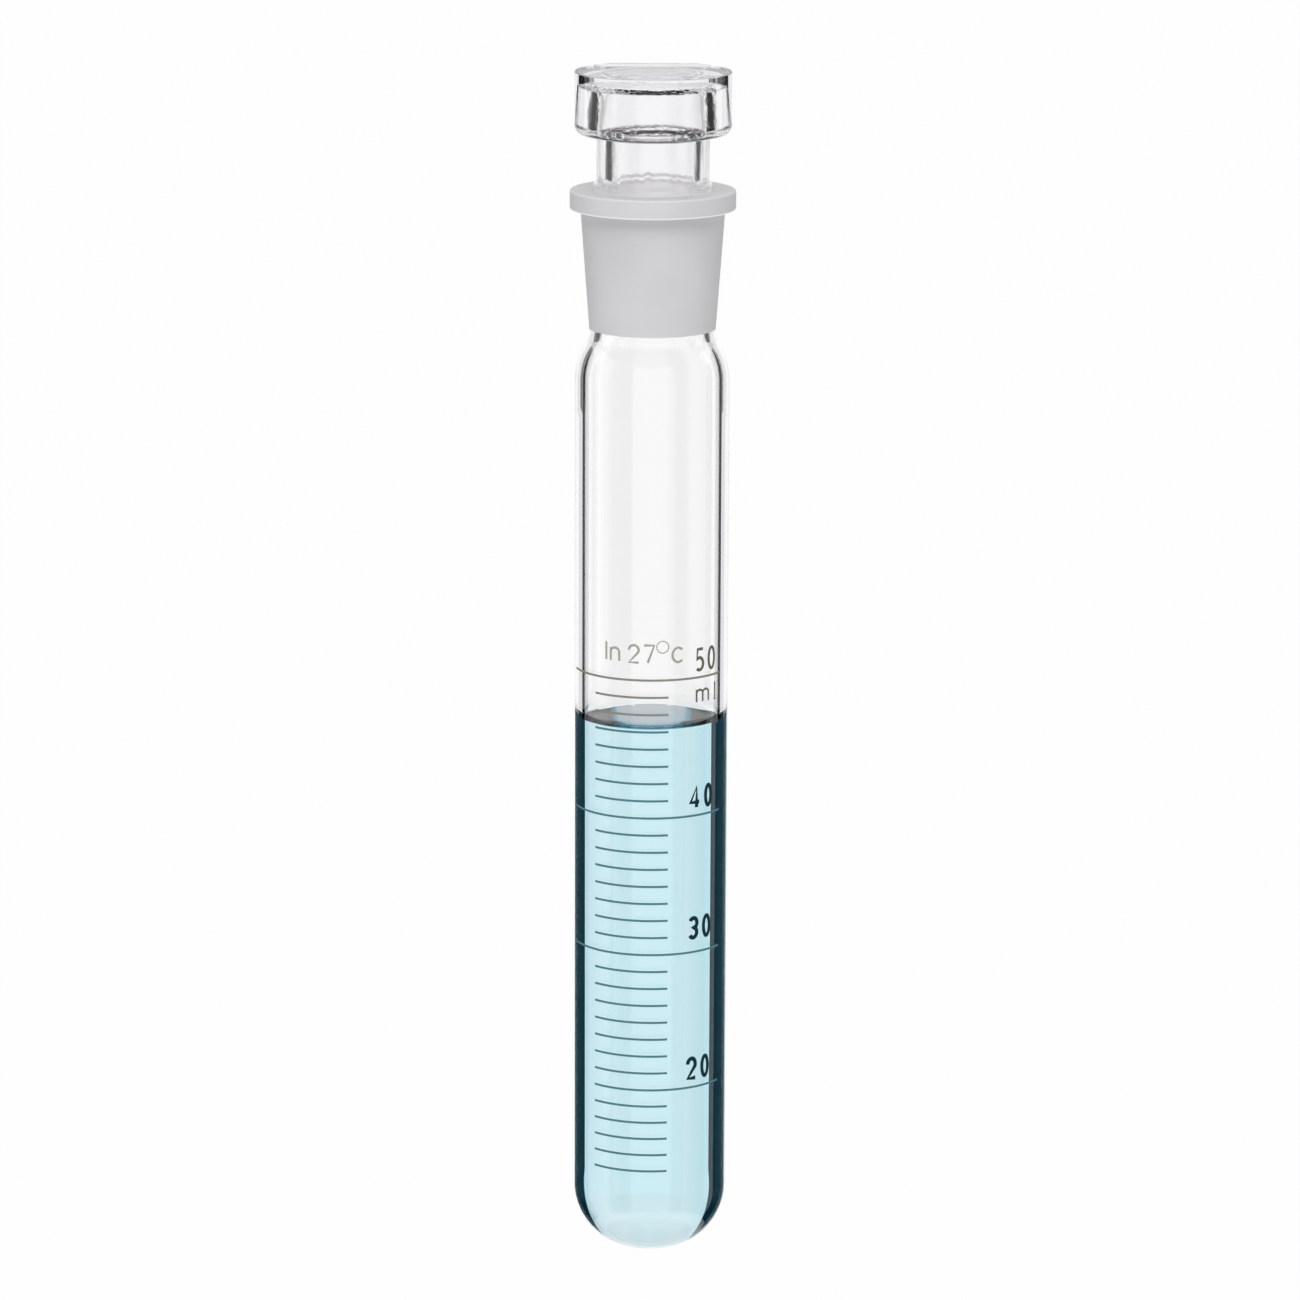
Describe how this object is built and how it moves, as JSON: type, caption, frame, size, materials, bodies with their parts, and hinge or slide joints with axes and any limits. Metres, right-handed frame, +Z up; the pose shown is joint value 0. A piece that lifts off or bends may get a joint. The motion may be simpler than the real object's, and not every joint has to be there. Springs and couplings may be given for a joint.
{
  "type": "graduated test tube",
  "caption": "Stoppered graduated test tube: clear glass, round bottom, frosted ground socket with flanged rim, hollow flat-head glass stopper, pale blue liquid.",
  "frame": {"origin": "lowest point of the round bottom, on the tube's axis", "axes": "+Z up along the tube's axis to the stopper; the printed scale faces -Y; +X is to the right of the scale as it is read"},
  "size_m": [0.03, 0.03, 0.22],
  "materials": {
    "clear_glass": "clear blown glass, ground to a fine frost on the socket and its rim",
    "stopper_glass": "clear blown glass with a slightly rippled inside, the plug ground",
    "blue_liquid": "clear pale blue watery liquid",
    "scale_print": "dark enamel print fused on the glass"
  },
  "bodies": {
    "tube_with_contents": {"tube": "clear_glass", "liquid": "blue_liquid", "short_ticks": "scale_print", "long_lines": "scale_print"},
    "stopper": {"stopper": "stopper_glass"}
  },
  "joints": [
    {"name": "stopper_lift", "type": "slide", "parent": "tube_with_contents", "child": "stopper", "axis": [0, 0, 1], "range_m": [0, 0.045]}
  ]
}
